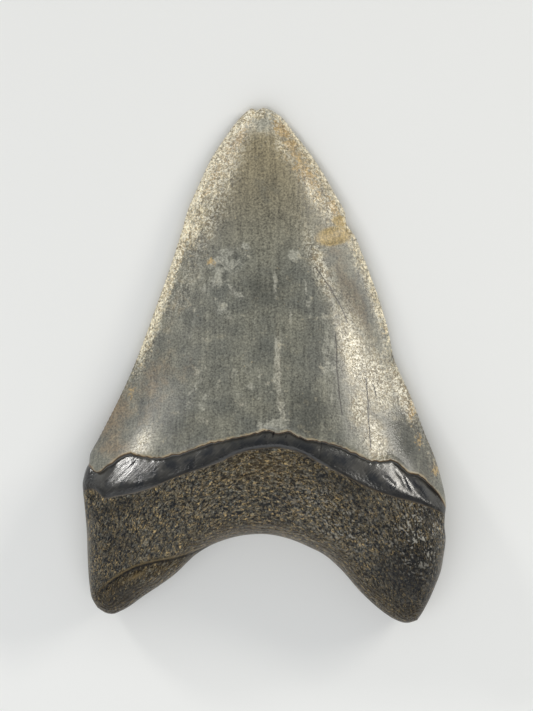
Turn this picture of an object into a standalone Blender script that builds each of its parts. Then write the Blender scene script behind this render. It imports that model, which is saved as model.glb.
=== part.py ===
"""A fossil megalodon tooth as one closed solid, lying on its outer (labial) face.

X runs across the tooth, Y from the root's lobes to the tip, and Z from the outer face, which
touches the ground at Z = 0, to the inner (lingual) face with its collar. The tables below are in
millimetres and the model is in metres.
"""

import math

import bmesh
import bpy
import numpy as np

MM = 0.001

# Driving sizes, in millimetres.
CROWN_HEIGHT = 14.2  # inner face above the ground where the enamel ends
ROOT_HEIGHT = 17.2  # top of the root's central swelling
LOBE_HEIGHT = 9.8  # inner face of the root near its sides
COLLAR_SWELL = 0.75  # how far the collar stands proud at its middle
COLLAR_END_SWELL = 0.45  # and at its ends
GROOVE_DEPTH = 0.35  # the root's dip just under the collar
ENAMEL_STEP = 0.38  # the enamel's thickness where it ends at the collar
MEDIAN_RIDGE = 0.28  # the low ridge along the middle of the crown
FACET_RISE, FACET_FALL = 0.25, 0.20  # how the worn facet on the right flank stands proud, then lies low
SCAR_DEPTH = 0.45  # the flake lost from the crown's right edge
CREASE_DEPTH = 1.0  # the crease across the left lobe
OUTER_HOLLOW = 1.3  # how far the outer face is hollowed under the crown's base
SAG = 0.048  # how fast the collar falls away from the middle: per millimetre of X to the power 1.5
TILT = 0.04  # how far its right end is lower, per millimetre of X

# The outline seen from above. Sides give X at a Y, from a lobe's outer corner to the tip.
LEFT_SIDE = [
    (-43.4, -29.8), (-41.9, -30.7), (-39.3, -31.2), (-35.2, -31.5), (-29.8, -31.7),
    (-25.3, -32.1), (-22.6, -32.4), (-21.4, -32.5), (-19.7, -32.2), (-17.7, -31.7),
    (-15.6, -31.0), (-13.8, -30.0), (-10.9, -28.5), (-5.1, -25.6), (0.6, -23.1),
    (6.4, -20.9), (12.2, -18.8), (17.9, -16.8), (23.5, -15.0), (28.5, -13.5),
    (32.5, -11.7), (36.6, -9.8), (40.8, -7.1), (44.0, -4.7), (45.6, -3.1),
]
RIGHT_SIDE = [
    (-45.7, 27.3), (-44.7, 28.0), (-42.7, 29.1), (-39.3, 30.6), (-36.6, 31.6),
    (-34.3, 32.0), (-31.1, 32.4), (-28.7, 32.2), (-26.9, 32.3), (-25.3, 32.5),
    (-23.9, 32.4), (-21.0, 31.8), (-16.7, 30.6), (-12.3, 28.8), (-6.9, 26.8),
    (-2.3, 24.9), (6.4, 22.3), (12.2, 20.5), (17.7, 18.5), (22.8, 16.5), (26.6, 15.0),
    (30.7, 12.7), (35.4, 10.0), (39.2, 7.3), (42.4, 4.8), (44.6, 3.0), (45.7, 1.4),
]
# Rows across the tooth give Y at an X: the arch between the lobes, the foot of the collar, the
# enamel's end above it, and the worn tip.
ARCH = [
    (-29.8, -43.4), (-28.5, -44.3), (-27.2, -44.6), (-25.3, -43.9), (-21.3, -41.2),
    (-15.9, -37.4), (-12.3, -34.0), (-9.8, -32.4), (-6.9, -31.2), (-2.6, -30.3),
    (1.0, -30.3), (4.5, -31.1), (7.9, -32.5), (10.9, -34.1), (13.6, -36.5),
    (17.2, -40.6), (21.2, -44.2), (23.4, -45.6), (25.5, -46.2), (27.3, -45.7),
]
COLLAR_FOOT = [
    (-32.4, -22.6), (-30.1, -22.3), (-28.4, -23.6), (-26.0, -23.3), (-20.6, -22.0),
    (-15.2, -19.7), (-8.0, -17.2), (-4.4, -15.6), (-0.8, -14.8), (2.8, -14.7),
    (4.6, -15.0), (11.8, -18.4), (19.0, -22.0), (22.6, -23.3), (26.6, -24.4),
    (29.8, -25.6), (32.3, -26.9),
]
ENAMEL_END = [
    (-31.7, -17.7), (-29.6, -18.9), (-27.8, -17.9), (-24.2, -15.6), (-21.8, -16.1),
    (-16.1, -15.9), (-9.8, -13.8), (-1.7, -12.0), (0.7, -11.4), (2.5, -12.0),
    (3.9, -11.5), (5.9, -12.5), (12.2, -13.9), (19.9, -17.0), (23.5, -17.2),
    (25.3, -18.8), (27.0, -19.4), (30.2, -22.1), (31.6, -23.9), (32.5, -25.6),
]
TIP = [(-3.1, 45.6), (-2.2, 46.1), (-1.5, 45.8), (0.0, 46.2), (1.4, 45.7)]
# The crease across the left lobe gives Y at an X. The worn facet's two lines and the ridge up the
# middle of the crown give X at a Y.
CREASE = [
    (-29.0, -39.9), (-26.0, -37.6), (-23.4, -36.1), (-19.7, -34.9), (-16.0, -34.2),
    (-12.6, -33.2), (-9.5, -32.0),
]
FACET_LEFT = [(-16.5, 14.2), (-9.0, 13.6), (-1.0, 12.9), (6.2, 12.7), (13.9, 11.4), (18.5, 8.6)]
FACET_RIGHT = [(-16.5, 21.6), (-11.0, 21.3), (-6.8, 20.2), (-1.7, 18.2), (6.9, 15.0), (18.5, 10.2)]
RIDGE_LINE = [(-11.6, 3.5), (-7.0, 2.9), (-3.7, 2.1), (4.5, 2.4), (12.0, 2.0), (18.0, 1.8)]
# Small losses from the edge: side, Y of the middle, depth and half height.
EDGE_LOSSES = [("left", -17.6, 0.30, 0.9), ("right", 25.3, 0.75, 1.5), ("right", 1.4, 0.45, 3.6)]
EDGE_LOSS_REACH = 2.2

# Heights along the level that follows the collar: the middle, the root's sides, the outer edge, and
# how far in the root's sides curve over.
CREST = [
    (-42.0, 8.4), (-36.0, 10.6), (-30.0, 14.0), (-26.5, 16.2), (-22.5, ROOT_HEIGHT), (-18.5, 16.3),
    (-15.0, 15.1), (-12.0, CROWN_HEIGHT), (-6.0, 12.9), (0.0, 11.8), (12.0, 9.8), (24.0, 7.7),
    (34.0, 5.9), (42.0, 4.0), (47.0, 2.6),
]
FLANK = [
    (-42.0, 7.2), (-36.0, 8.8), (-30.0, LOBE_HEIGHT), (-24.0, 9.6), (-18.0, 9.0), (-13.0, 8.3),
    (-6.0, 7.5), (0.0, 7.0), (47.0, 2.4),
]
EDGE_LEVEL = [
    (-38.0, 4.6), (-30.0, 5.2), (-22.0, 5.0), (-15.0, 4.5), (-9.0, 3.6), (0.0, 2.5), (25.0, 1.8),
    (47.0, 1.1),
]
ROOT_ROUNDING = [(-42.0, 3.0), (-30.0, 3.2), (-22.0, 3.6), (-14.0, 5.0), (47.0, 5.0)]
BLADE_FROM, BLADE_TO = -18.0, 1.0  # levels where the sides change from rounded to bladed
OUTER_BEVEL = 6.5  # how far in the crown's outer face lifts towards its edges
OUTER_ROUNDING = 4.0  # how far in the root's sides curve under

# The mesh: columns across, and rows in the root, the collar and the crown.
COLUMNS = 44
ROOT_ROWS, COLLAR_ROWS, CROWN_ROWS = 19, 8, 29
LEAST_INSET = 0.12  # keeps the two faces apart just inside the edge


def smooth(points, at):
    """Reads the smooth curve through these (place, value) points at these places."""
    place, value = np.array(points, float).T
    slope = np.gradient(value, place)
    start = np.clip(np.searchsorted(place, at, side="right") - 1, 0, len(place) - 2)
    span = place[start + 1] - place[start]
    part = np.clip((at - place[start]) / span, 0.0, 1.0)
    rest = 1.0 - part
    from_start = rest**2 * ((1.0 + 2.0 * part) * value[start] + part * span * slope[start])
    from_end = part**2 * ((1.0 + 2.0 * rest) * value[start + 1] - rest * span * slope[start + 1])
    return from_start + from_end


def step(low, high, at):
    """0 below low, 1 above high, and a smooth rise between them."""
    part = np.clip((at - low) / (high - low), 0.0, 1.0)
    return part * part * (3.0 - 2.0 * part)


def hump(distance, width):
    """1 at no distance, fading to nothing a few widths away."""
    return np.exp(-((distance / width) ** 2))


def crowded(part, share):
    """Fractions from 0 to 1, crowded towards both ends."""
    return (1.0 - share) * part + share * (0.5 - 0.5 * np.cos(math.pi * part))


def row_places(row):
    """The band (0 root, 1 collar, 2 crown) plus the fraction up it, for a row number."""
    root = crowded(np.clip(row / ROOT_ROWS, 0.0, 1.0), 0.75)
    collar = crowded(np.clip((row - ROOT_ROWS) / COLLAR_ROWS, 0.0, 1.0), 0.75)
    crown = crowded(np.clip((row - ROOT_ROWS - COLLAR_ROWS) / CROWN_ROWS, 0.0, 1.0), 0.45)
    return root + collar + crown


def row_y(points, across):
    """Y along a row, at fractions of the way from its left end to its right end."""
    left, right = points[0][0], points[-1][0]
    return smooth(points, left + (right - left) * across)


def plan(across, up):
    """X and Y of the points at these fractions across and these places up the bands."""
    y = np.zeros_like(across)
    left_y = np.zeros_like(across)
    right_y = np.zeros_like(across)
    rows = [ARCH, COLLAR_FOOT, ENAMEL_END, TIP]
    for band in range(3):
        low, high = rows[band], rows[band + 1]
        here = (up >= band) & (up <= band + 1)
        part = np.clip(up - band, 0.0, 1.0)
        y = np.where(here, row_y(low, across) * (1.0 - part) + row_y(high, across) * part, y)
        left_y = np.where(here, low[0][1] * (1.0 - part) + high[0][1] * part, left_y)
        right_y = np.where(here, low[-1][1] * (1.0 - part) + high[-1][1] * part, right_y)
    left = smooth(LEFT_SIDE, left_y)
    right = smooth(RIGHT_SIDE, right_y)
    x = left + (right - left) * across
    for side, middle, depth, half in EDGE_LOSSES:
        inward, edge = (1.0, left) if side == "left" else (-1.0, right)
        fading = hump(np.abs(x - edge), EDGE_LOSS_REACH)
        x = x + inward * depth * hump(y - middle, half) * fading
    return x, y


def inset(x, y, loop):
    """How far each point lies inside the closed outline that runs through loop."""
    start = loop
    along = np.roll(loop, -1, axis=0) - start
    length = np.maximum((along**2).sum(axis=1), 1e-12)
    offset = np.stack([x, y], axis=1)[:, None, :] - start[None, :, :]
    part = np.clip((offset * along).sum(axis=2) / length, 0.0, 1.0)
    nearest = offset - part[:, :, None] * along
    return np.sqrt((nearest**2).sum(axis=2).min(axis=1))


def rounding(inward, reach, power):
    """The share of its full height that a surface reaches this far in from the edge."""
    part = np.clip(inward / reach, 0.0, 1.0)
    return (1.0 - (1.0 - part) ** 2) ** power


def collar_relief(x, y):
    """The collar's low roof, the enamel's step above it and the groove under its foot."""
    enamel = smooth(ENAMEL_END, x)
    foot = smooth(COLLAR_FOOT, x)
    part = np.clip((y - foot) / np.maximum(enamel - foot, 0.3), 0.002, 0.998)
    ends = step(15.0, 23.0, np.abs(x - 1.0))
    inner = 1.0 - step(6.0, 17.0, np.abs(x - 1.0))
    crest = 0.5 - 0.28 * ends
    sharpness = 1.6 + 3.4 * ends
    rise, fall = part / crest, (1.0 - part) / (1.0 - crest)
    roof = (rise**-sharpness + fall**-sharpness) ** (-1.0 / sharpness)
    swell = (COLLAR_SWELL * 1.4 * inner + COLLAR_END_SWELL * ends) * roof
    below = 1.0 - step(0.93, 1.0, part)
    groove = GROOVE_DEPTH * (1.0 + 0.4 * ends) * hump(np.minimum(y - foot, 0.0), 2.2)
    return below * (swell - ENAMEL_STEP * step(foot - 6.0, foot, y) - groove)


def scar_relief(x, y):
    """Two shallow scoops where a flake broke from the right edge."""
    upper = hump(np.hypot((x - 13.7) / 1.5, (y - 25.7) / 0.95), 1.0)
    lower = hump(np.hypot((x - 12.5) / 3.1, (y - 23.0 - 0.25 * (x - 12.5)) / 1.6), 1.0)
    return -SCAR_DEPTH * np.maximum(0.65 * upper, lower)


def crease_relief(x, y):
    """The crease across the left lobe, sharp on its upper side, with a low roll below it."""
    gap = y - smooth(CREASE, x)
    inside = step(-31.0, -27.0, x) * (1.0 - step(-10.5, -8.0, x))
    cut = hump(np.minimum(gap, 0.0), 1.5) * hump(np.maximum(gap, 0.0), 0.5)
    roll = 0.5 * hump(gap + 2.6, 1.2) * step(-27.5, -25.0, x) * (1.0 - step(-20.0, -17.5, x))
    return inside * CREASE_DEPTH * (roll - cut)


def crown_relief(x, y):
    """The steeper facet worn on the right flank, and the ridge up the middle."""
    left, right, edge = smooth(FACET_LEFT, y), smooth(FACET_RIGHT, y), smooth(RIGHT_SIDE, y)
    before = FACET_RISE * np.clip(x / left, 0.0, 1.0)
    inside = (FACET_RISE + FACET_FALL) * np.clip((x - left) / (right - left), 0.0, 1.0)
    after = FACET_FALL * np.clip((x - right) / (edge - right), 0.0, 1.0)
    facet = (before - inside + after) * (1.0 - step(8.0, 18.5, y))
    ridge = hump(x - smooth(RIDGE_LINE, y), 0.8) * step(-12.0, -9.0, y) * (1.0 - step(4.0, 20.0, y))
    return step(0.0, 1.0, y - smooth(ENAMEL_END, x)) * (MEDIAN_RIDGE * ridge + facet)


def level_of(x, y):
    """Y measured from lines that sag as the collar does, and straighten out up the crown."""
    return y + (SAG * np.abs(x) ** 1.5 + TILT * x) * (1.0 - step(-8.0, 22.0, y))


def inner_face(x, y, near):
    """Z of the inner face, the one with the collar."""
    level = level_of(x, y)
    left, right = smooth(LEFT_SIDE, y), smooth(RIGHT_SIDE, y)
    middle, half = 0.5 * (left + right), 0.5 * (right - left)
    edge, crest = smooth(EDGE_LEVEL, level), smooth(CREST, level)
    flank = np.minimum(smooth(FLANK, level), crest)
    domed = np.clip(1.0 - ((x - middle) / half) ** 2, 0.0, 1.0)
    body = flank + (crest - flank) * domed
    root = edge + (body - edge) * rounding(near, smooth(ROOT_ROUNDING, level), 0.5)
    across = np.minimum(half - np.abs(x - middle), 1.3 * near)
    crown = edge + (crest - edge) * rounding(across, half, 1.0)
    height = root + (crown - root) * step(BLADE_FROM, BLADE_TO, level)
    relief = collar_relief(x, y) + scar_relief(x, y) + crease_relief(x, y) + crown_relief(x, y)
    return height + relief * step(0.0, 2.0, near)


def outer_face(x, y, near):
    """Z of the outer face, which is flat where it lies on the ground."""
    level = level_of(x, y)
    half = 0.5 * (smooth(RIGHT_SIDE, y) - smooth(LEFT_SIDE, y))
    blade = step(BLADE_FROM, BLADE_TO, level)
    reach = OUTER_ROUNDING * (1.0 - blade) + np.minimum(OUTER_BEVEL, 0.7 * half) * blade
    power = 0.5 + 0.5 * blade
    lift = smooth(EDGE_LEVEL, level) * (1.0 - rounding(near, reach, power))
    hollow = (OUTER_HOLLOW + 0.2) * hump(x, 13.0) * hump(y + 15.0, 9.5) - 0.2
    return lift + np.maximum(hollow, 0.0)


def face(height):
    """A grid over the whole outline, bent to one face of the tooth."""
    mesh = bmesh.new()
    rows = ROOT_ROWS + COLLAR_ROWS + CROWN_ROWS
    bmesh.ops.create_grid(mesh, x_segments=COLUMNS, y_segments=rows, size=1.0)
    flat = np.array([vert.co for vert in mesh.verts])
    column = np.round((flat[:, 0] + 1.0) * 0.5 * COLUMNS)
    row = np.round((flat[:, 1] + 1.0) * 0.5 * rows)
    x, y = plan(crowded(column / COLUMNS, 0.75), row_places(row))
    loop = np.concatenate([
        np.stack([x, y], axis=1)[np.nonzero(side)[0][np.argsort(order[side])]]
        for side, order in (
            (row == 0, column),
            ((column == COLUMNS) & (row > 0), row),
            ((row == rows) & (column < COLUMNS), -column),
            ((column == 0) & (row > 0) & (row < rows), -row),
        )
    ])
    rim = (row == 0) | (row == rows) | (column == 0) | (column == COLUMNS)
    near = np.where(rim, 0.0, np.maximum(inset(x, y, loop), LEAST_INSET))
    z = height(x, y, near)
    for vert, place in zip(mesh.verts, np.stack([x, y, z], axis=1) * MM):
        vert.co = place
    return mesh


def tooth():
    """Both faces, welded along their shared edge."""
    solid = face(inner_face)
    outer = face(outer_face)
    bmesh.ops.reverse_faces(outer, faces=outer.faces)
    data = bpy.data.meshes.new("tooth")
    outer.to_mesh(data)
    solid.from_mesh(data)
    bmesh.ops.remove_doubles(solid, verts=solid.verts, dist=0.005 * MM)
    bmesh.ops.recalc_face_normals(solid, faces=solid.faces)
    solid.to_mesh(data)
    outer.free()
    solid.free()
    data.shade_smooth()
    return bpy.data.objects.new("tooth", data)


def fossil():
    """Grey-brown fossil enamel and bone, with a low shine."""
    material = bpy.data.materials.new("grey fossil")
    material.use_nodes = True
    shader = material.node_tree.nodes["Principled BSDF"]
    shader.inputs["Base Color"].default_value = (0.15, 0.14, 0.115, 1.0)
    shader.inputs["Roughness"].default_value = 0.42
    shader.inputs["Metallic"].default_value = 0.0
    return material


for old in list(bpy.data.objects):
    bpy.data.objects.remove(old)
collection = bpy.data.collections.new("Megalodon tooth")
bpy.context.scene.collection.children.link(collection)
piece = tooth()
piece.data.materials.append(fossil())
collection.objects.link(piece)
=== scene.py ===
"""A fossil megalodon tooth lying on its outer face, seen from straight above.

Sizes are in millimetres until a mesh is made, where X runs across the tooth, Y from the root's
lobes to the tip and Z up from the ground, as in the solid model.
"""

import math

import bmesh
import bpy
import numpy as np
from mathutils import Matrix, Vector


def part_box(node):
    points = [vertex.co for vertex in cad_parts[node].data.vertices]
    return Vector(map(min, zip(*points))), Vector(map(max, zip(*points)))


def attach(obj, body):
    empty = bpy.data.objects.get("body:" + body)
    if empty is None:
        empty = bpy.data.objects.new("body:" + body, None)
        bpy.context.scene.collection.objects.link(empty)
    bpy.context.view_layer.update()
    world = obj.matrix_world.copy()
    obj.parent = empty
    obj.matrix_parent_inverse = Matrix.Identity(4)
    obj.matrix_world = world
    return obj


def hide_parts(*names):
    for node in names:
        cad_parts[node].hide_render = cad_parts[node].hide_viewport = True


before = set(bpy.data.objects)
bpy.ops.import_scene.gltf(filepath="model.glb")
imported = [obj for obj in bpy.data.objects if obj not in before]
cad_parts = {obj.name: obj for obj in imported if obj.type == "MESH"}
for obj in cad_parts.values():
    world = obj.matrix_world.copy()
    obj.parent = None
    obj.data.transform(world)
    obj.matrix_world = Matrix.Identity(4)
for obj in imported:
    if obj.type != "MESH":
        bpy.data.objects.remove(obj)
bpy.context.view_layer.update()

MM = 0.001

# ---------------------------------------------------------------------------------------------
# The tooth's form. A shark's tooth is one growth: a blade of enameloid on a body of dentine, a
# dark collar where the enameloid ends, and a two-lobed root of bone-like tissue. All of it turned
# to stone as one piece. It is laid out here as rows across and columns up, bent to both faces.

# The outline seen from above. Sides give X at a Y, from a lobe's outer corner to the tip.
LEFT_SIDE = [
    (-43.4, -29.8), (-41.9, -30.7), (-39.3, -31.2), (-35.2, -31.5), (-29.8, -31.7),
    (-25.3, -32.1), (-22.6, -32.4), (-21.4, -32.5), (-19.7, -32.2), (-17.7, -31.7),
    (-15.6, -31.0), (-13.8, -30.0), (-10.9, -28.5), (-5.1, -25.6), (0.6, -23.1),
    (6.4, -20.9), (12.2, -18.8), (17.9, -16.8), (23.5, -15.0), (28.5, -13.5),
    (32.5, -11.7), (36.6, -9.8), (40.8, -7.1), (44.0, -4.7), (45.6, -3.1),
]
RIGHT_SIDE = [
    (-45.7, 27.3), (-44.7, 28.0), (-42.7, 29.1), (-39.3, 30.6), (-36.6, 31.6),
    (-34.3, 32.0), (-31.1, 32.4), (-28.7, 32.2), (-26.9, 32.3), (-25.3, 32.5),
    (-23.9, 32.4), (-21.0, 31.8), (-16.7, 30.6), (-12.3, 28.8), (-6.9, 26.8),
    (-2.3, 24.9), (6.4, 22.3), (12.2, 20.5), (17.7, 18.5), (22.8, 16.5), (26.6, 15.0),
    (30.7, 12.7), (35.4, 10.0), (39.2, 7.3), (42.4, 4.8), (44.6, 3.0), (45.7, 1.4),
]
# Rows across the tooth give Y at an X: the arch between the lobes, the foot of the collar, the
# enamel's end above it, and the worn tip. The outer face has a narrower, straighter collar.
ARCH = [
    (-29.8, -43.4), (-28.5, -44.3), (-27.2, -44.6), (-25.3, -43.9), (-21.3, -41.2),
    (-15.9, -37.4), (-12.3, -34.0), (-9.8, -32.4), (-6.9, -31.2), (-2.6, -30.3),
    (1.0, -30.3), (4.5, -31.1), (7.9, -32.5), (10.9, -34.1), (13.6, -36.5),
    (17.2, -40.6), (21.2, -44.2), (23.4, -45.6), (25.5, -46.2), (27.3, -45.7),
]
COLLAR_FOOT = [
    (-32.4, -22.6), (-30.1, -22.3), (-28.4, -23.6), (-26.0, -23.3), (-20.6, -22.0),
    (-15.2, -19.7), (-8.0, -17.2), (-4.4, -15.6), (-0.8, -14.8), (2.8, -14.7),
    (4.6, -15.0), (11.8, -18.4), (19.0, -22.0), (22.6, -23.3), (26.6, -24.4),
    (29.8, -25.6), (32.3, -26.9),
]
ENAMEL_END = [
    (-31.7, -17.7), (-29.6, -18.9), (-27.8, -17.9), (-24.2, -15.6), (-21.8, -16.1),
    (-16.1, -15.9), (-9.8, -13.8), (-1.7, -12.0), (0.7, -11.4), (2.5, -12.0),
    (3.9, -11.5), (5.9, -12.5), (12.2, -13.9), (19.9, -17.0), (23.5, -17.2),
    (25.3, -18.8), (27.0, -19.4), (30.2, -22.1), (31.6, -23.9), (32.5, -25.6),
]
TIP = [(-3.1, 45.6), (-2.2, 46.1), (-1.5, 45.8), (0.0, 46.2), (1.4, 45.7)]
OUTER_FOOT = [
    (-32.4, -22.6), (-26.0, -24.8), (-16.0, -24.0), (-7.0, -20.6), (0.0, -18.6), (7.0, -20.4),
    (16.0, -24.6), (26.0, -27.2), (32.3, -26.9),
]
OUTER_ENAMEL_END = [
    (-31.7, -17.7), (-26.0, -22.6), (-16.0, -22.4), (-7.0, -19.0), (0.0, -17.0), (7.0, -18.8),
    (16.0, -22.9), (26.0, -25.4), (32.5, -25.6),
]
INNER_ROWS = [ARCH, COLLAR_FOOT, ENAMEL_END, TIP]
OUTER_ROWS = [ARCH, OUTER_FOOT, OUTER_ENAMEL_END, TIP]
# Small losses from the edge: side, Y of the middle, depth and half height.
EDGE_LOSSES = [("left", -17.6, 0.30, 0.9), ("right", 25.3, 0.75, 1.5), ("right", 1.4, 0.45, 3.6)]
EDGE_LOSS_REACH = 2.2

CROWN_HEIGHT = 14.2  # inner face above the ground where the enamel ends
ROOT_HEIGHT = 17.2  # top of the root's central swelling
LOBE_HEIGHT = 9.8  # inner face of the root near its sides
COLLAR_SWELL = 0.75  # how far the collar stands proud at its middle
ENAMEL_STEP = 0.38  # the enamel's thickness where it ends at the collar
MEDIAN_RIDGE = 0.34  # the low ridge along the middle of the crown
SCAR_DEPTH = 0.45  # the flake lost from the crown's right edge
CREASE_DEPTH = 1.0  # the crease across the left lobe
OUTER_HOLLOW = 1.3  # how far the outer face is hollowed under the crown's base
SAG = 0.048  # how fast the collar falls away from the middle: per millimetre of X to the power 1.5
TILT = 0.04  # how far its right end is lower, per millimetre of X
# Heights along the level that follows the collar: the middle, the root's sides, the outer edge, and
# how far in the root's sides curve over.
CREST = [
    (-42.0, 8.4), (-36.0, 10.6), (-30.0, 14.0), (-26.5, 16.2), (-22.5, ROOT_HEIGHT), (-18.5, 16.3),
    (-15.0, 15.1), (-12.0, CROWN_HEIGHT), (-6.0, 12.9), (0.0, 11.8), (12.0, 9.8), (24.0, 7.7),
    (34.0, 5.9), (42.0, 4.0), (47.0, 2.6),
]
FLANK = [
    (-42.0, 7.2), (-36.0, 8.8), (-30.0, LOBE_HEIGHT), (-24.0, 9.6), (-18.0, 9.0), (-13.0, 8.3),
    (-6.0, 7.5), (0.0, 7.0), (47.0, 2.4),
]
EDGE_LEVEL = [
    (-38.0, 4.6), (-30.0, 5.2), (-22.0, 5.0), (-15.0, 4.5), (-9.0, 3.6), (0.0, 2.5), (25.0, 1.8),
    (47.0, 1.1),
]
ROOT_ROUNDING = [(-42.0, 3.0), (-30.0, 3.2), (-22.0, 3.6), (-14.0, 5.0), (47.0, 5.0)]
BLADE_FROM, BLADE_TO = -18.0, 1.0  # levels where the sides change from rounded to bladed
OUTER_BEVEL = 6.5  # how far in the crown's outer face lifts towards its edges
OUTER_ROUNDING = 4.0  # how far in the root's sides curve under

ROOT_ROWS, COLLAR_ROWS, CROWN_ROWS = 100, 28, 290
ROWS = ROOT_ROWS + COLLAR_ROWS + CROWN_ROWS
INNER_COLUMNS, OUTER_COLUMNS = 256, 128


def smooth(points, at):
    """Reads the smooth curve through these (place, value) points at these places."""
    place, value = np.array(points, float).T
    slope = np.gradient(value, place)
    start = np.clip(np.searchsorted(place, at, side="right") - 1, 0, len(place) - 2)
    span = place[start + 1] - place[start]
    part = np.clip((at - place[start]) / span, 0.0, 1.0)
    rest = 1.0 - part
    from_start = rest**2 * ((1.0 + 2.0 * part) * value[start] + part * span * slope[start])
    from_end = part**2 * ((1.0 + 2.0 * rest) * value[start + 1] - rest * span * slope[start + 1])
    return from_start + from_end


def step(low, high, at):
    """0 below low, 1 above high, and a smooth rise between them."""
    part = np.clip((at - low) / (high - low), 0.0, 1.0)
    return part * part * (3.0 - 2.0 * part)


def between(low, high, soft, at):
    """1 from low to high, fading to 0 over this distance outside them."""
    return step(low - soft, low, at) * (1.0 - step(high, high + soft, at))


def hump(distance, width):
    """1 at no distance, fading to nothing a few widths away."""
    return np.exp(-((distance / width) ** 2))


def crowded(part, share):
    """Fractions from 0 to 1, crowded towards both ends."""
    return (1.0 - share) * part + share * (0.5 - 0.5 * np.cos(math.pi * part))


def lumps(x, y, size, seed):
    """Smooth random heights between -1 and 1, about size millimetres apart."""
    heights = np.random.default_rng(seed).uniform(-1.0, 1.0, (256, 256))
    column, row = x / size + 100.0, y / size + 100.0
    left, low = np.floor(column).astype(int), np.floor(row).astype(int)
    right_share, high_share = step(0.0, 1.0, column - left), step(0.0, 1.0, row - low)
    near, far = left % 256, (left + 1) % 256
    below, above = low % 256, (low + 1) % 256
    bottom = heights[near, below] * (1.0 - right_share) + heights[far, below] * right_share
    top = heights[near, above] * (1.0 - right_share) + heights[far, above] * right_share
    return bottom * (1.0 - high_share) + top * high_share


def blotch(x, y, middle, size, lean=0.0):
    """A soft oval patch, 1 in its middle, whose long side may lean."""
    turn = math.radians(lean)
    along = (x - middle[0]) * math.cos(turn) + (y - middle[1]) * math.sin(turn)
    beside = (y - middle[1]) * math.cos(turn) - (x - middle[0]) * math.sin(turn)
    return np.exp(-((along / size[0]) ** 2) - (beside / size[1]) ** 2)


def row_places(row):
    """The band (0 root, 1 collar, 2 crown) plus the fraction up it, for a row number."""
    root = crowded(np.clip(row / ROOT_ROWS, 0.0, 1.0), 0.5)
    collar = crowded(np.clip((row - ROOT_ROWS) / COLLAR_ROWS, 0.0, 1.0), 0.6)
    crown = np.clip((row - ROOT_ROWS - COLLAR_ROWS) / CROWN_ROWS, 0.0, 1.0)
    return root + collar + crown


def row_y(points, across):
    """Y along a row, at fractions of the way from its left end to its right end."""
    left, right = points[0][0], points[-1][0]
    return smooth(points, left + (right - left) * across)


def plan(rows, across, up):
    """X and Y of the points at these fractions across and these places up the bands."""
    y = np.zeros_like(across)
    left_y = np.zeros_like(across)
    right_y = np.zeros_like(across)
    for band in range(3):
        low, high = rows[band], rows[band + 1]
        here = (up >= band) & (up <= band + 1)
        part = np.clip(up - band, 0.0, 1.0)
        y = np.where(here, row_y(low, across) * (1.0 - part) + row_y(high, across) * part, y)
        left_y = np.where(here, low[0][1] * (1.0 - part) + high[0][1] * part, left_y)
        right_y = np.where(here, low[-1][1] * (1.0 - part) + high[-1][1] * part, right_y)
    left = smooth(LEFT_SIDE, left_y)
    right = smooth(RIGHT_SIDE, right_y)
    x = left + (right - left) * across
    for side, middle, depth, half in EDGE_LOSSES:
        inward, edge = (1.0, left) if side == "left" else (-1.0, right)
        fading = hump(np.abs(x - edge), EDGE_LOSS_REACH)
        x = x + inward * depth * hump(y - middle, half) * fading
    return x, y


def rounding(inward, reach, power):
    """The share of its full height that a surface reaches this far in from the edge."""
    part = np.clip(inward / reach, 0.0, 1.0)
    return (1.0 - (1.0 - part) ** 2) ** power


def inset(x, y, loop):
    """How far each point lies inside the closed outline that runs through loop."""
    along = np.roll(loop, -1, axis=0) - loop
    length = np.maximum((along**2).sum(axis=1), 1e-12)
    found = np.empty(len(x))
    for first in range(0, len(x), 4000):
        some = slice(first, first + 4000)
        offset_x = x[some, None] - loop[None, :, 0]
        offset_y = y[some, None] - loop[None, :, 1]
        part = np.clip((offset_x * along[:, 0] + offset_y * along[:, 1]) / length, 0.0, 1.0)
        gap = (offset_x - part * along[:, 0]) ** 2 + (offset_y - part * along[:, 1]) ** 2
        found[some] = np.sqrt(gap.min(axis=1))
    return found


# The collar is a low roof: rounded along the middle, with a sharp crest near its foot at the ends.
COLLAR_END_SWELL = 0.45
GROOVE_DEPTH, GROOVE_END_DEPTH = 0.35, 0.50  # the root's dip just under the collar
BEAD = 0.08  # the fine raised line along the middle of the collar's foot


def collar_relief(x, y):
    """The collar's swell, the enamel's step above it and the groove under its foot."""
    enamel = smooth(ENAMEL_END, x)
    foot = smooth(COLLAR_FOOT, x)
    part = np.clip((y - foot) / np.maximum(enamel - foot, 0.3), 0.002, 0.998)
    ends = step(15.0, 23.0, np.abs(x - 1.0))
    inner = 1.0 - step(6.0, 17.0, np.abs(x - 1.0))
    crest = 0.5 - 0.28 * ends
    sharpness = 1.6 + 3.4 * ends
    rise, fall = part / crest, (1.0 - part) / (1.0 - crest)
    roof = (rise**-sharpness + fall**-sharpness) ** (-1.0 / sharpness)
    swell = (COLLAR_SWELL * 1.4 * inner + COLLAR_END_SWELL * ends) * roof
    below = 1.0 - step(0.93, 1.0, part)
    dip = GROOVE_DEPTH + (GROOVE_END_DEPTH - GROOVE_DEPTH) * ends
    groove = dip * hump(np.minimum(y - foot, 0.0), 2.2)
    bead = BEAD * hump(y - foot - 0.6, 0.32) * hump(x - 3.0, 15.0)
    return below * (swell + bead - ENAMEL_STEP * step(foot - 6.0, foot, y) - groove)


# A flake broke from the right edge in two scoops: middle, half sizes, lean and depth.
SCOOPS = [((13.7, 25.7), (1.5, 0.95), -12.0, 0.30), ((12.5, 23.0), (3.1, 1.6), 14.0, SCAR_DEPTH)]


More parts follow.
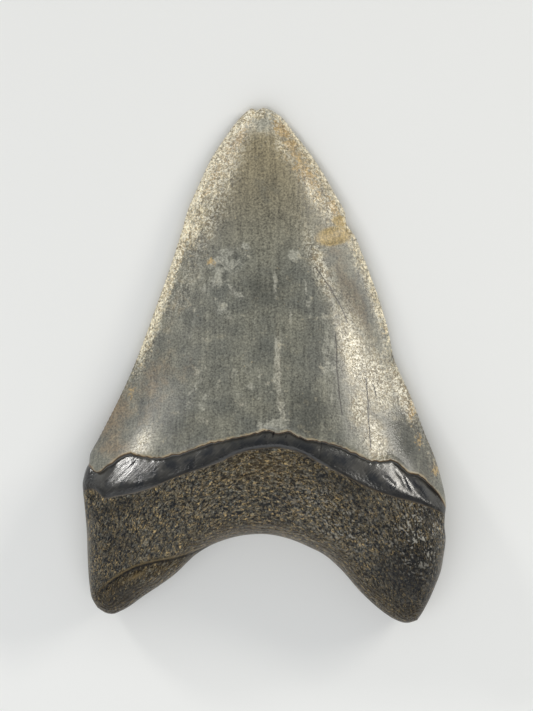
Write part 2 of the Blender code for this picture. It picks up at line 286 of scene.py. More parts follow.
def scar_relief(x, y):
    """The scoops, crisp at their rims."""
    depth = np.zeros_like(x)
    for middle, size, lean, deep in SCOOPS:
        reach = -np.log(np.maximum(blotch(x, y, middle, size, lean), 1e-9))
        depth = np.maximum(depth, deep * np.clip(1.0 - reach, 0.0, 1.0))
    return -depth


CREASE = [
    (-29.0, -39.9), (-26.0, -37.6), (-23.4, -36.1), (-19.7, -34.9), (-16.0, -34.2),
    (-12.6, -33.2), (-9.5, -32.0),
]


def crease_relief(x, y):
    """The crease that crosses the left lobe, sharp on its upper side, with a low roll below it."""
    gap = y - smooth(CREASE, x)
    inside = step(-31.0, -27.0, x) * (1.0 - step(-10.5, -8.0, x))
    cut = hump(np.minimum(gap, 0.0), 1.5) * hump(np.maximum(gap, 0.0), 0.30)
    roll = 0.5 * hump(gap + 2.6, 1.2) * between(-25.0, -20.0, 2.5, x)
    return inside * CREASE_DEPTH * (roll - cut)


# The right flank of the crown is worn to a long, steeper facet between these two lines.
FACET_LEFT = [(-16.5, 14.2), (-9.0, 13.6), (-1.0, 12.9), (6.2, 12.7), (13.9, 11.4), (18.5, 8.6)]
FACET_RIGHT = [(-16.5, 21.6), (-11.0, 21.3), (-6.8, 20.2), (-1.7, 18.2), (6.9, 15.0), (18.5, 10.2)]
# How far it stands proud along the first and lies low along the second.
FACET_RISE, FACET_FALL = 0.25, 0.20
RIDGE_LINE = [(-11.6, 3.5), (-7.0, 2.9), (-3.7, 2.1), (4.5, 2.4), (12.0, 2.0), (18.0, 1.8)]


def crown_relief(x, y):
    """The facet on the right flank, the ridge up the middle and slow waves over the whole crown."""
    left, right, edge = smooth(FACET_LEFT, y), smooth(FACET_RIGHT, y), smooth(RIGHT_SIDE, y)
    before = FACET_RISE * np.clip(x / left, 0.0, 1.0)
    inside = (FACET_RISE + FACET_FALL) * np.clip((x - left) / (right - left), 0.0, 1.0)
    after = FACET_FALL * np.clip((x - right) / (edge - right), 0.0, 1.0)
    facet = (before - inside + after) * (1.0 - step(8.0, 18.5, y))
    ridge = hump(x - smooth(RIDGE_LINE, y), 0.45) * between(-10.0, 4.0, 3.0, y)
    foot = 0.5 * blotch(x, y, (1.5, -11.0), (2.6, 1.5))
    waves = 0.11 * lumps(x, y, 6.5, 11) + 0.03 * lumps(x, y, 2.3, 12)
    crown = step(0.0, 1.0, y - smooth(ENAMEL_END, x))
    return crown * (MEDIAN_RIDGE * np.maximum(ridge, foot) + facet + waves)


def root_relief(x, y):
    """Bony lumps at three sizes, coarser and glossier nodules at the right, pits at the left."""
    bone = 1.0 - step(-0.5, 0.3, y - smooth(COLLAR_FOOT, x))
    right_side = step(28.5, 30.5, x) * (1.0 - step(-38.0, -34.0, y))
    sides = np.maximum(right_side, 1.0 - step(-31.0, -29.6, x))
    grain = 0.09 * lumps(x, y, 3.1, 21) + 0.06 * lumps(x, y, 1.25, 22)
    grain = grain + 0.06 * lumps(x, y, 0.62, 23)
    nodules = 0.38 * np.abs(lumps(x, y, 1.15, 24)) * blotch(x, y, (27.6, -30.4), (4.2, 6.5))
    pit = 0.9 * blotch(x, y, (-30.6, -23.4), (0.9, 0.7))
    dent = 0.35 * blotch(x, y, (-28.3, -38.0), (1.0, 2.6), -20.0)
    return bone * (grain * (1.0 - 0.5 * sides) + nodules - (pit + dent) - 0.18)


def level_of(x, y):
    """Y measured from lines that sag as the collar does, and straighten out up the crown."""
    return y + (SAG * np.abs(x) ** 1.5 + TILT * x) * (1.0 - step(-8.0, 22.0, y))


def inner_height(x, y, near):
    """Z of the inner face, the one with the collar."""
    level = level_of(x, y)
    left, right = smooth(LEFT_SIDE, y), smooth(RIGHT_SIDE, y)
    middle, half = 0.5 * (left + right), 0.5 * (right - left)
    edge, crest = smooth(EDGE_LEVEL, level), smooth(CREST, level)
    flank = np.minimum(smooth(FLANK, level), crest)
    domed = np.clip(1.0 - ((x - middle) / half) ** 2, 0.0, 1.0)
    body = flank + (crest - flank) * domed
    root = edge + (body - edge) * rounding(near, smooth(ROOT_ROUNDING, level), 0.5)
    across = np.minimum(half - np.abs(x - middle), 1.3 * near)
    crown = edge + (crest - edge) * rounding(across, half, 1.0)
    height = root + (crown - root) * step(BLADE_FROM, BLADE_TO, level)
    relief = collar_relief(x, y) + scar_relief(x, y) + crease_relief(x, y) + crown_relief(x, y)
    return height + (relief + root_relief(x, y)) * step(0.0, 2.0, near)


def outer_height(x, y, near):
    """Z of the outer face, which is flat where it lies on the ground."""
    level = level_of(x, y)
    half = 0.5 * (smooth(RIGHT_SIDE, y) - smooth(LEFT_SIDE, y))
    blade = step(BLADE_FROM, BLADE_TO, level)
    reach = OUTER_ROUNDING * (1.0 - blade) + np.minimum(OUTER_BEVEL, 0.7 * half) * blade
    power = 0.5 + 0.5 * blade
    lift = smooth(EDGE_LEVEL, level) * (1.0 - rounding(near, reach, power))
    hollow = (OUTER_HOLLOW + 0.2) * hump(x, 13.0) * hump(y + 15.0, 9.5) - 0.2
    bone = 1.0 - step(-0.5, 0.5, y - smooth(OUTER_FOOT, x))
    grain = 0.06 * (1.0 + lumps(x, y, 1.25, 31)) + 0.04 * (1.0 + lumps(x, y, 0.7, 32))
    return lift + np.maximum(hollow, 0.0) + bone * grain * step(0.0, 1.5, near)


def columns_in(row, full):
    """How many columns a row has: the crown needs fewer as it narrows."""
    crown = (row - ROOT_ROWS - COLLAR_ROWS) / CROWN_ROWS
    halvings = sum(crown > passed for passed in (0.0, 0.60, 0.86))
    return full // 2**halvings


def rows_of(full, shared):
    """Column counts, and each point's row and fraction across, row by row, for one face."""
    counts = [columns_in(row, full) for row in range(ROWS + 1)]
    counts[0], counts[-1] = columns_in(0, shared), columns_in(ROWS, shared)
    row = np.repeat(np.arange(ROWS + 1.0), np.array(counts) + 1)
    across = np.concatenate([crowded(np.linspace(0.0, 1.0, count + 1), 0.55) for count in counts])
    return counts, row, across


def faces_between(counts, first_point):
    """Faces that join each row to the next, which may have half or twice as many columns."""
    faces, bands = [], []
    low = first_point
    for row, (below, above) in enumerate(zip(counts[:-1], counts[1:])):
        high = low + below + 1
        if below == above:
            made = [(low + i, low + i + 1, high + i + 1, high + i) for i in range(below)]
        else:
            few, many = (high, low) if below > above else (low, high)
            made = []
            for i in range(min(below, above)):
                near_end, middle, far_end = many + 2 * i, many + 2 * i + 1, many + 2 * i + 2
                fan = [(near_end, middle, few + i), (middle, few + i + 1, few + i)]
                fan.append((middle, far_end, few + i + 1))
                made += fan if below > above else [corners[::-1] for corners in fan]
        faces += made
        bands += [int(row >= ROOT_ROWS) + int(row >= ROOT_ROWS + COLLAR_ROWS)] * len(made)
        low = high
    return faces, bands


def outline_loop():
    """The outline as a closed loop of points, coarse enough to measure distances from quickly."""
    across = np.linspace(0.0, 1.0, 90)
    root, collar = np.linspace(0.0, 1.0, 40), np.linspace(1.1, 2.0, 12)
    up = np.concatenate([root, collar, np.linspace(2.01, 3.0, 120)])
    arch = plan(INNER_ROWS, across, np.zeros_like(across))
    right = plan(INNER_ROWS, np.ones_like(up), up)
    tip = plan(INNER_ROWS, across[::-6], np.full_like(across[::-6], 3.0))
    left = plan(INNER_ROWS, np.zeros_like(up), up[::-1])
    return np.concatenate([np.stack(side, axis=1)[:-1] for side in (arch, right, tip, left)])


def gap_above(points, x, y):
    """Distance above a row across the tooth, less than nothing below it."""
    slope = (smooth(points, x + 0.2) - smooth(points, x - 0.2)) / 0.4
    return (y - smooth(points, x)) / np.sqrt(1.0 + slope**2)


# The cutting edges carry fine serrations, about 12 to the centimetre, worn down on this tooth.
SERRATION = 0.8
SERRATION_DEPTH = 0.08
NOTCH_DEPTH = 0.10  # how deep they are cut just inside the edge
RAGGEDNESS = 0.22  # how far the enamel's broken end strays from its line
CRACK_DEPTH, GOUGE_DEPTH = 0.05, 0.06
GRANULE_HEIGHT = 0.035  # of the enamel's skin where it is worn
OUT_OF_REACH = 60.0  # added to a crack's distance past its ends
# Cracks that run down the crown's right flank: X at a Y, from the lower end to the upper one.
CRACKS = [
    [(6.8, 15.0), (10.8, 13.4), (13.9, 11.5), (17.9, 8.7)],
    [(-9.5, 13.8), (-1.0, 12.9), (6.6, 12.7)],
    [(-15.4, 18.8), (-9.5, 18.5), (-1.7, 18.1)],
    [(-6.4, 20.0), (-4.6, 19.7), (-2.8, 19.1)],
]
# The root's fibres follow its arch: a parabola with this bend per millimetre, through this Y.
ROOT_BEND = 0.056
ROOT_MIDDLE = -24.0


def laid(x, y, marks):
    """The strongest of some soft oval patches at each point: middle, half sizes, lean and share."""
    found = np.zeros_like(x)
    for middle, size, lean, part in marks:
        found = np.maximum(found, part * blotch(x, y, middle, size, lean))
    return found


# Stains, wear, painted shade and painted highlights, laid as soft ovals: middle, half sizes, lean in
# degrees and share.
MARKS = {
    # The crown: enamel worn thin to cream, worn to a granular skin, or polished; the polished places
    # also carry a painted sheen.
    # One cream mark, on the worn facet of the right flank, is partly painted sheen.
    "cream": [
        ((-7.6, 35.4), (8.5, 2.6), 66.0, 0.7), ((-12.2, 25.0), (6.0, 1.8), 70.0, 0.65),
        ((15.6, 2.6), (4.8, 1.5), -75.0, 0.55), ((13.0, 22.4), (3.2, 1.5), 14.0, 0.4),
        ((3.6, 38.6), (2.6, 1.4), -55.0, 0.45), ((8.6, 31.0), (6.0, 1.2), -62.0, 0.55),
    ],
    "worn": [
        ((15.9, 2.2), (7.5, 2.4), -76.0, 1.0), ((19.4, -2.6), (6.0, 3.6), -62.0, 0.95),
        ((19.6, -13.2), (5.5, 1.9), -72.0, 0.9), ((10.2, 16.8), (7.0, 1.5), -68.0, 0.6),
        ((19.6, 12.6), (8.0, 1.2), -66.0, 0.5), ((24.6, -4.4), (6.0, 1.7), -68.0, 0.9),
        ((16.8, -8.0), (4.0, 1.7), -80.0, 0.75), ((-21.6, -14.0), (2.8, 1.4), 60.0, 0.7),
        ((-9.6, 27.0), (9.0, 2.2), 68.0, 0.5), ((11.0, 29.0), (7.0, 2.0), -62.0, 0.55),
        ((-14.6, 14.0), (9.0, 2.0), 68.0, 0.25),
    ],
    "polish_sheen": [
        ((15.8, 2.4), (7.0, 2.2), -78.0, 1.0), ((19.6, -13.0), (3.6, 1.8), -70.0, 0.75),
        ((-21.6, -14.0), (2.8, 1.6), 60.0, 0.9), ((17.8, -2.0), (5.0, 2.5), -60.0, 0.7),
        ((2.3, -0.5), (0.30, 6.0), 0.0, 0.75), ((3.0, -7.5), (0.4, 2.6), 8.0, 0.4),
    ],
    "low_facet": [((25.2, -12.5), (4.8, 7.5), -12.0, 1.0)],
    "dull_valley": [((15.8, 11.4), (8.5, 2.2), -66.0, 1.0), ((13.0, 20.0), (7.0, 2.2), -64.0, 0.5)],
    # The crown's stains, with some painted shade and a painted highlight among them.
    "ochre": [
        ((4.7, 39.4), (1.5, 1.1), 0.0, 1.1), ((3.3, 42.2), (2.4, 1.5), -40.0, 1.0),
        ((7.2, 34.8), (7.5, 2.1), -60.0, 0.70), ((-4.6, 40.4), (4.0, 1.0), 62.0, 0.75),
        ((-9.2, 33.6), (5.0, 1.1), 66.0, 0.6), ((12.4, 28.4), (2.6, 1.2), -60.0, 0.8),
        ((13.6, 25.7), (1.6, 1.0), 0.0, 1.0), ((12.8, 22.8), (3.2, 1.4), 14.0, 0.85),
        ((-9.4, 18.4), (1.2, 0.9), 0.0, 0.75), ((26.4, -8.2), (0.8, 2.4), 0.0, 0.8),
        ((27.6, -13.6), (0.8, 1.6), 0.0, 0.7), ((30.6, -19.0), (0.9, 1.2), 0.0, 0.8),
        ((22.0, 6.4), (0.7, 1.1), 0.0, 0.7), ((-14.7, 22.0), (1.2, 2.4), 0.0, 0.5),
        ((-17.8, 13.2), (1.3, 2.2), 0.0, 0.5), ((-6.4, 37.8), (1.0, 3.4), 0.0, 0.5),
        ((8.9, 31.8), (2.2, 4.6), 0.0, 0.4), ((-23.8, -5.2), (1.2, 2.4), 0.0, 0.5),
    ],
    # The thin pale line up the middle ridge and the pale patch at its foot are a painted highlight.
    "pale": [
        ((-6.6, 18.0), (3.4, 3.2), 20.0, 0.80), ((-9.4, 14.6), (2.6, 2.2), 20.0, 0.70),
        ((5.1, 19.4), (1.3, 1.2), 0.0, 0.8), ((-3.0, 20.9), (1.8, 0.9), -20.0, 0.7),
        ((1.9, 15.0), (0.4, 3.6), 0.0, 0.8), ((1.2, -10.4), (2.8, 1.5), 0.0, 0.95),
        ((2.35, -1.5), (0.5, 7.0), 1.0, 1.2), ((3.0, -7.5), (0.7, 3.0), 8.0, 1.0),
        ((0.2, 44.4), (3.6, 3.0), 0.0, 1.0), ((11.4, 1.0), (1.5, 9.0), 4.0, 0.65),
        ((22.0, 3.2), (1.4, 3.0), 10.0, 0.6), ((-2.5, -3.0), (5.5, 6.0), 0.0, 0.35),
        ((-4.8, 12.6), (3.2, 1.0), -40.0, 0.65), ((-7.6, 9.6), (3.2, 2.4), 0.0, 0.5),
        ((-11.0, -5.0), (4.0, 6.0), 0.0, 0.4), ((-13.0, 6.0), (3.0, 5.0), -20.0, 0.4),
        ((7.6, 12.0), (0.5, 4.0), 8.0, 0.7), ((4.4, 10.5), (0.4, 4.0), 6.0, 0.6),
    ],
    # The dark marks on the low right facet above the collar's end and in the valley beside the worn
    # facet are painted shade.
    "dark": [
        ((0.2, 13.5), (6.5, 5.0), 0.0, 0.75), ((8.0, -8.6), (4.4, 6.5), 10.0, 0.9),
        ((-1.2, 37.6), (1.5, 6.0), 10.0, 0.45), ((0.6, 31.0), (2.8, 4.0), 0.0, 0.5),
        ((25.2, -12.5), (4.8, 7.5), -12.0, 1.3), ((29.2, -17.5), (2.4, 5.0), 0.0, 0.9),
        ((-14.0, -11.0), (4.5, 2.2), 0.0, 0.5), ((-8.2, -9.6), (7.0, 2.0), 15.0, 0.4),
        ((-14.4, 3.4), (2.4, 8.0), -12.0, 0.35), ((9.0, 3.0), (2.6, 8.0), 6.0, 0.45),
        ((15.8, 11.6), (8.5, 2.6), -66.0, 0.6),
    ],
    # The brown marks in the valley beside the worn facet are painted shade.
    "brown": [
        ((-27.0, -9.4), (4.0, 7.5), -20.0, 0.9), ((-14.2, -1.0), (4.0, 5.0), 0.0, 0.5),
        ((-19.5, -3.0), (5.0, 9.0), -18.0, 0.65), ((-20.6, -8.0), (5.0, 5.0), 0.0, 0.5),
        ((-26.4, -15.0), (5.0, 2.8), 0.0, 0.8), ((29.4, -18.0), (2.2, 4.0), 0.0, 0.8),
        ((-16.0, 10.0), (7.0, 3.0), 68.0, 0.45), ((13.0, 20.0), (8.0, 3.0), -64.0, 0.55),
        ((15.8, 11.6), (8.5, 2.4), -66.0, 0.9),
    ],
    # The root; its shadowed marks are painted shade.
    "browned": [((-0.6, -17.6), (7.0, 2.6), 0.0, 0.8), ((-22.0, -19.0), (9.0, 1.2), 12.0, 0.5)],
    "shadowed": [
        ((26.0, -36.5), (6.5, 8.5), 0.0, 0.9), ((-25.6, -31.6), (3.0, 4.5), 0.0, 0.35),
        ((14.0, -21.5), (7.0, 2.4), -28.0, 0.5), ((-26.5, -25.4), (6.0, 1.3), 12.0, 0.6),
        ((29.0, -26.5), (3.0, 2.0), 0.0, 0.7), ((19.0, -28.0), (8.0, 4.5), -35.0, 0.4),
        ((-25.5, -41.0), (5.5, 3.2), 20.0, 0.6),
    ],
    "crease_lip": [((-22.6, -37.3), (1.6, 0.28), 24.0, 0.9)],
    "glossy": [((27.4, -30.4), (4.4, 7.0), 0.0, 1.0), ((13.0, -27.0), (9.0, 4.0), -40.0, 0.5)],
}


def painted(x, y, near):
    """Shares from 0 to 1 of each stain, wear, painted shade and painted highlight at each point, and
    where the root's grain runs.
    """
    left = x < 0.0
    found = {name: laid(x, y, marks) for name, marks in MARKS.items()}
    # The crown's margins are worn to cream, the left one also painted lighter as a highlight, and
    # hardly at all beside the facet's left side.
    margin = 1.0 - step(0.4, 3.0, near + 0.5 * lumps(x, y, 2.0, 51))
    left_margin = margin * left * between(10.0, 44.0, 17.0, y)
    right_share = between(9.0, 44.0, 4.0, y) + 0.6 * between(-7.0, 5.0, 3.0, y)
    right_margin = margin * ~left * (right_share + 0.3 * between(-20.0, -8.0, 2.0, y))
    margins = np.maximum(left_margin, 0.5 * right_margin)
    found["cream"] = np.maximum(margins, found["cream"])
    beside = (x < smooth(FACET_LEFT, y) + 0.1) & (np.abs(y) < 7.0) & ~left
    found["worn"] = np.where(beside, 0.25 * found["worn"], found["worn"])
    smoothed = np.maximum(found["polish_sheen"], 0.8 * found.pop("low_facet"))
    found["satin"] = smoothed - found.pop("dull_valley")
    found["scarred"] = np.zeros_like(x)
    for middle, size, lean, _ in SCOOPS:
        scoop = step(0.20, 0.42, blotch(x, y, middle, size, lean))
        found["scarred"] = np.maximum(found["scarred"], scoop)
    # Along the left edge the cream rim reaches further in, as a painted highlight.
    rim = 1.0 - step(0.15, np.where(left, 1.7, 0.75), near)
    found["rim"] = rim * between(4.0, 43.0, 3.0, y)
    found["tipward"], found["capped"] = step(16.0, 42.0, y), step(40.0, 44.5, y)
    # The root is brown along its arch and its crease; the crease and some patches are painted as
    # shade, and the outer sides painted lighter as a sheen.
    arch_gap, crease_gap = gap_above(ARCH, x, y), gap_above(CREASE, x, y)
    by_crease = between(-27.0, -11.0, 2.5, x)
    by_arch = 0.8 * (1.0 - step(1.0, 4.5, arch_gap))
    under_crease = 0.7 * by_crease * hump(crease_gap + 1.3, 1.1)
    found["browned"] = np.maximum(found["browned"], np.maximum(by_arch, under_crease))
    in_crease = 1.3 * by_crease * hump(crease_gap + 0.10, 0.22)
    found["shadowed"] = np.maximum(found["shadowed"], in_crease)
    lip = 0.9 * by_crease * hump(crease_gap - 0.28, 0.12)
    found["crease_lip"] = np.maximum(lip, found["crease_lip"])
    right_side = 0.7 * step(30.2, 31.6, x) * (1.0 - step(-36.0, -32.0, y))
    left_side = 0.8 * (1.0 - step(-31.5, -30.4, x)) * (1.0 - step(-30.0, -27.0, y))
    found["side_sheen"] = np.maximum(right_side, left_side)
    bend = np.sqrt(1.0 + (ROOT_BEND * x) ** 2)
    found["grain_along"] = 0.5 * (x * bend + np.arcsinh(ROOT_BEND * x) / ROOT_BEND)
    found["grain_across"] = (y - ROOT_MIDDLE + 0.5 * ROOT_BEND * x**2) / bend
    found["arch_gap"] = arch_gap
    return found


# Hairline cracks across the collar: X at the foot, X at the enamel.
HAIRLINES = [(0.3, 0.1), (1.4, 1.7), (4.0, 3.7), (9.6, 10.2), (-13.0, -11.6)]
# Gouges across its polished ends, from one end to the other.
GOUGES = [
    ((17.6, -18.5), (18.5, -20.3)), ((21.1, -19.6), (22.9, -21.0)), ((23.5, -18.9), (24.8, -21.2)),
    ((24.9, -20.0), (26.5, -22.8)), ((26.7, -20.6), (29.1, -24.2)), ((25.8, -21.6), (26.3, -22.9)),
    ((-28.2, -20.8), (-24.6, -17.6)), ((-26.6, -21.0), (-22.8, -17.3)),
    ((-25.3, -18.8), (-23.8, -17.2)),
]


def hairlines(x, y, foot_gap, enamel_gap):
    """Where the collar's hairline cracks and gouges run."""
    part = np.clip(foot_gap / np.maximum(foot_gap - enamel_gap, 0.3), 0.0, 1.0)
    found = np.zeros_like(x)
    for low, high in HAIRLINES:
        gap = x - (low + (high - low) * part) + 0.08 * lumps(x, part * 4.0, 0.7, 60)
        found = np.maximum(found, hump(gap, 0.10))
    for start, end in GOUGES:
        along_x, along_y = end[0] - start[0], end[1] - start[1]
        length = math.hypot(along_x, along_y)
        along = ((x - start[0]) * along_x + (y - start[1]) * along_y) / length
        beside = ((y - start[1]) * along_x - (x - start[0]) * along_y) / length
        beside = beside + 0.12 * lumps(x, y, 0.9, 61)
        found = np.maximum(found, between(0.0, length, 0.4, along) * hump(beside, 0.11))
    return found


LOOP = outline_loop()
BOX = np.array(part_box("tooth")) / MM


def face_points(rows, full, shared, height):
    """Points of one face with what its materials need to know about each of them."""
    counts, row, across = rows_of(full, shared)
    x, y = plan(rows, across, row_places(row))
    rim = (across == 0.0) | (across == 1.0) | (row == 0) | (row == ROWS)
    near = np.where(rim, 0.0, inset(x, y, LOOP))
    z = height(x, y, near)
    enamel_gap = gap_above(rows[2], x, y)
    serrated = step(1.5, 6.0, enamel_gap) * (1.0 - step(42.0, 45.0, y))
    beads = 0.5 + 0.5 * np.cos(2.0 * math.pi * (y + 0.15 * lumps(x, y, 3.0, 5)) / SERRATION)
    side = np.sign(across - 0.5)
    fields = {"enamel_gap": enamel_gap, "foot_gap": gap_above(rows[1], x, y)}
    fields["hairline"] = hairlines(x, y, fields["foot_gap"], enamel_gap)
    fields["collar_end"] = step(28.6, 31.2, np.abs(x + 0.2))
    fields.update(painted(x, y, near))
    for number, line in enumerate(CRACKS):
        gap = x - smooth(line, y) + 0.08 * lumps(x, y, 0.8, 40 + number)
        inside = between(line[0][0] + 0.6, line[-1][0] - 0.6, 0.6, y)
        fields[f"crack_{number}"] = gap + OUT_OF_REACH * (1.0 - inside)
        z = z - CRACK_DEPTH * inside * hump(gap, 0.22) * (height is inner_height)
    x = x - side * SERRATION_DEPTH * (1.0 - beads) * serrated * hump(near, 0.6)
    flat = np.zeros_like(x)
    ragged = 0.7 * lumps(x, flat, 0.95, 62) + 0.5 * lumps(x, flat, 0.42, 63)
    y = y + RAGGEDNESS * ragged * hump(enamel_gap, 0.8) * step(0.3, 1.5, near)
    if height is inner_height:
        z = z - NOTCH_DEPTH * (1.0 - beads) * serrated * hump(near - 0.3, 0.35) * (near > 0.0)
        on_collar = (enamel_gap < 0.0) * (fields["foot_gap"] > 0.0)
        z = z - GOUGE_DEPTH * fields["hairline"] * on_collar
        worn = np.maximum(fields["cream"], fields["worn"]) * step(0.0, 0.5, near)
        z = z + GRANULE_HEIGHT * lumps(x, y, 0.55, 6) * worn * (enamel_gap > 0.5)
    return counts, np.stack([x, y, z], axis=1), fields


inner_counts, inner_points, inner_fields = face_points(
    INNER_ROWS, INNER_COLUMNS, INNER_COLUMNS, inner_height)
outer_counts, outer_points, outer_fields = face_points(
    OUTER_ROWS, OUTER_COLUMNS, INNER_COLUMNS, outer_height)
inner_faces, inner_bands = faces_between(inner_counts, 0)
outer_faces, outer_bands = faces_between(outer_counts, len(inner_points))
points = np.clip(np.concatenate([inner_points, outer_points]), BOX[0], BOX[1])
mesh = bpy.data.meshes.new("fossil_tooth")
mesh.from_pydata((points * MM).tolist(), [], inner_faces + [corners[::-1] for corners in outer_faces])
mesh.polygons.foreach_set("material_index", inner_bands + outer_bands)
for name in inner_fields:
    values = np.concatenate([inner_fields[name], outer_fields[name]])
    mesh.attributes.new(name, "FLOAT", "POINT").data.foreach_set("value", values)
welded = bmesh.new()
welded.from_mesh(mesh)
bmesh.ops.remove_doubles(welded, verts=welded.verts, dist=0.002 * MM)
welded.to_mesh(mesh)
welded.free()
mesh.shade_smooth()
tooth = bpy.data.objects.new("fossil_tooth", mesh)
bpy.context.scene.collection.objects.link(tooth)
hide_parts("tooth")
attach(tooth, "root")


# ---------------------------------------------------------------------------------------------
# Root bone. The root was porous bone-like tissue whose pores and fibres filled with dark
# phosphate, sand grains and iron: a blue-black ground, all over fine curled strokes of ochre, tan
# and grey. Shade is painted into it in places, and its smooth outer sides are painted lighter as a
# sheen.
def linear(code):
    """Linear light from an sRGB hex colour."""
    parts = [int(code[i:i + 2], 16) / 255.0 for i in (1, 3, 5)]
    return [p / 12.92 if p <= 0.04045 else ((p + 0.055) / 1.055) ** 2.4 for p in parts] + [1.0]


def add(tree, kind, inputs, output=0, **settings):
    """Adds a node with these settings and inputs, each a value or a link, and gives an output."""
    node = tree.nodes.new(kind)
    for name, value in settings.items():
        setattr(node, name, value)
    for socket, value in inputs.items():
        if isinstance(value, bpy.types.NodeSocket):
            tree.links.new(value, node.inputs[socket])
        else:
            node.inputs[socket].default_value = value
    return node.outputs[output]


def finish(name):
    """A new material on the tooth: gives its tree, its shader and places in millimetres."""
    material = bpy.data.materials.new(name)
    material.use_nodes = True
    mesh.materials.append(material)
    tree = material.node_tree
    spot = add(tree, "ShaderNodeTexCoord", {}, "Object")
    spot = add(tree, "ShaderNodeVectorMath", {0: spot, "Scale": 1.0 / MM}, operation="SCALE")
    return tree, tree.nodes["Principled BSDF"], spot


tree, shader, spot = finish("root_bone")
# A colour mix takes its share at 0 and its two colours at 6 and 7, and gives its result at 2.
given = {}
for name in (
    "browned", "shadowed", "side_sheen", "crease_lip", "glossy", "arch_gap", "grain_along",
    "grain_across",
):
    given[name] = add(tree, "ShaderNodeAttribute", {}, "Fac", attribute_name=name)
cloud = add(tree, "ShaderNodeTexNoise", {"Vector": spot, "Scale": 1.0 / 4.0, "Detail": 3.0})
mottle = add(tree, "ShaderNodeTexNoise", {"Vector": spot, "Scale": 1.0 / 0.50, "Detail": 2.0})
grit = add(tree, "ShaderNodeTexNoise", {"Vector": spot, "Scale": 1.0 / 0.28, "Detail": 1.0})
clouded = add(tree, "ShaderNodeMapRange", {"Value": cloud, "From Min": 0.40, "From Max": 0.62})
inputs = {0: clouded, 6: linear("#11151a"), 7: linear("#1c1b18")}
colour = add(tree, "ShaderNodeMix", inputs, 2, data_type="RGBA")
mottled = add(tree, "ShaderNodeMapRange", {"Value": mottle, "From Min": 0.49, "From Max": 0.62})
inputs = {0: mottled, 6: colour, 7: linear("#4e4b43")}
colour = add(tree, "ShaderNodeMix", inputs, 2, data_type="RGBA")
# Browner stretches lie under the middle of the collar, along the arch and below the crease.
brown = add(tree, "ShaderNodeMath", {0: given["browned"], 1: 0.75}, operation="MULTIPLY")
inputs = {0: brown, 6: colour, 7: linear("#483c28")}
colour = add(tree, "ShaderNodeMix", inputs, 2, data_type="RGBA")
# Three layers of curled strokes about 0.2 mm wide, drawn out along the root's grain: each is noise
# near its middle value, broken by another.
relief = add(tree, "ShaderNodeMath", {0: grit, 1: 0.8}, operation="MULTIPLY")
up = add(tree, "ShaderNodeSeparateXYZ", {0: spot}, 2)
flow = add(tree, "ShaderNodeCombineXYZ", {0: given["grain_along"], 1: given["grain_across"], 2: up})
inputs = {"Vector": flow, "Scale": (1.55, 0.85, 1.0)}
grained = add(tree, "ShaderNodeMapping", inputs, vector_type="TEXTURE")
for size, offset, code, part in (
    (0.44, 0.0, "#dcc08a", 0.95), (0.38, 31.0, "#b8aa8c", 0.92), (0.34, 67.0, "#c4c2b4", 0.62),
):
    inputs = {0: grained, 1: (offset, offset, 0.0)}
    shifted = add(tree, "ShaderNodeVectorMath", inputs, operation="ADD")
    inputs = {"Vector": shifted, "Scale": 1.0 / size, "Detail": 0.0, "Distortion": 1.1}
    curl = add(tree, "ShaderNodeTexNoise", inputs)
    off = add(tree, "ShaderNodeMath", {0: curl, 1: 0.5}, operation="SUBTRACT")
    off = add(tree, "ShaderNodeMath", {0: off}, operation="ABSOLUTE")
    inputs = {"Value": off, "From Min": 0.018, "From Max": 0.050, "To Min": 1.0, "To Max": 0.0}
    line = add(tree, "ShaderNodeMapRange", inputs, interpolation_type="SMOOTHSTEP")
    inputs = {"Vector": shifted, "Scale": 1.0 / 0.55, "Detail": 0.0}
    breaks = add(tree, "ShaderNodeTexNoise", inputs)
    kept = add(tree, "ShaderNodeMapRange", {"Value": breaks, "From Min": 0.47, "From Max": 0.56})
    stroke = add(tree, "ShaderNodeMath", {0: line, 1: kept}, operation="MULTIPLY")
    relief = add(tree, "ShaderNodeMath", {0: stroke, 1: 0.4, 2: relief}, operation="MULTIPLY_ADD")
    # Fewer strokes show in the painted shade.
    inputs = {"Value": given["shadowed"], "To Min": part, "To Max": 0.3 * part}
    strength = add(tree, "ShaderNodeMapRange", inputs)
    stroke = add(tree, "ShaderNodeMath", {0: stroke, 1: strength}, operation="MULTIPLY")
    inputs = {0: stroke, 6: colour, 7: linear(code)}
    colour = add(tree, "ShaderNodeMix", inputs, 2, data_type="RGBA")
# Painted glints: on the glossy nodules, pale crescents of colour stand for the ridges catching the
# light.
inputs = {"Vector": grained, "Scale": 1.0 / 0.85, "Detail": 0.0, "Distortion": 1.4}
crest = add(tree, "ShaderNodeTexNoise", inputs)
inputs = {"Value": crest, "From Min": 0.57, "From Max": 0.62}
crest = add(tree, "ShaderNodeMapRange", inputs, interpolation_type="SMOOTHSTEP")
thinned = add(tree, "ShaderNodeMapRange", {"Value": mottle, "From Min": 0.47, "From Max": 0.53})
crest = add(tree, "ShaderNodeMath", {0: crest, 1: thinned}, operation="MULTIPLY")
crest = add(tree, "ShaderNodeMath", {0: crest, 1: given["glossy"]}, operation="MULTIPLY")
inputs = {0: crest, 6: colour, 7: linear("#d6d2c6")}
colour = add(tree, "ShaderNodeMix", inputs, 2, data_type="RGBA")
# Painted shade darkens the shadowed places and the crease's line, the outer sides are painted lighter
# as a sheen, and the crease has a pale lip.
for name, code, part in (
    ("shadowed", "#131316", 0.65), ("side_sheen", "#827d73", 0.80), ("crease_lip", "#97835c", 0.8),
):
    amount = add(tree, "ShaderNodeMath", {0: given[name], 1: part}, operation="MULTIPLY")
    inputs = {0: amount, 6: colour, 7: linear(code)}
    colour = add(tree, "ShaderNodeMix", inputs, 2, data_type="RGBA")
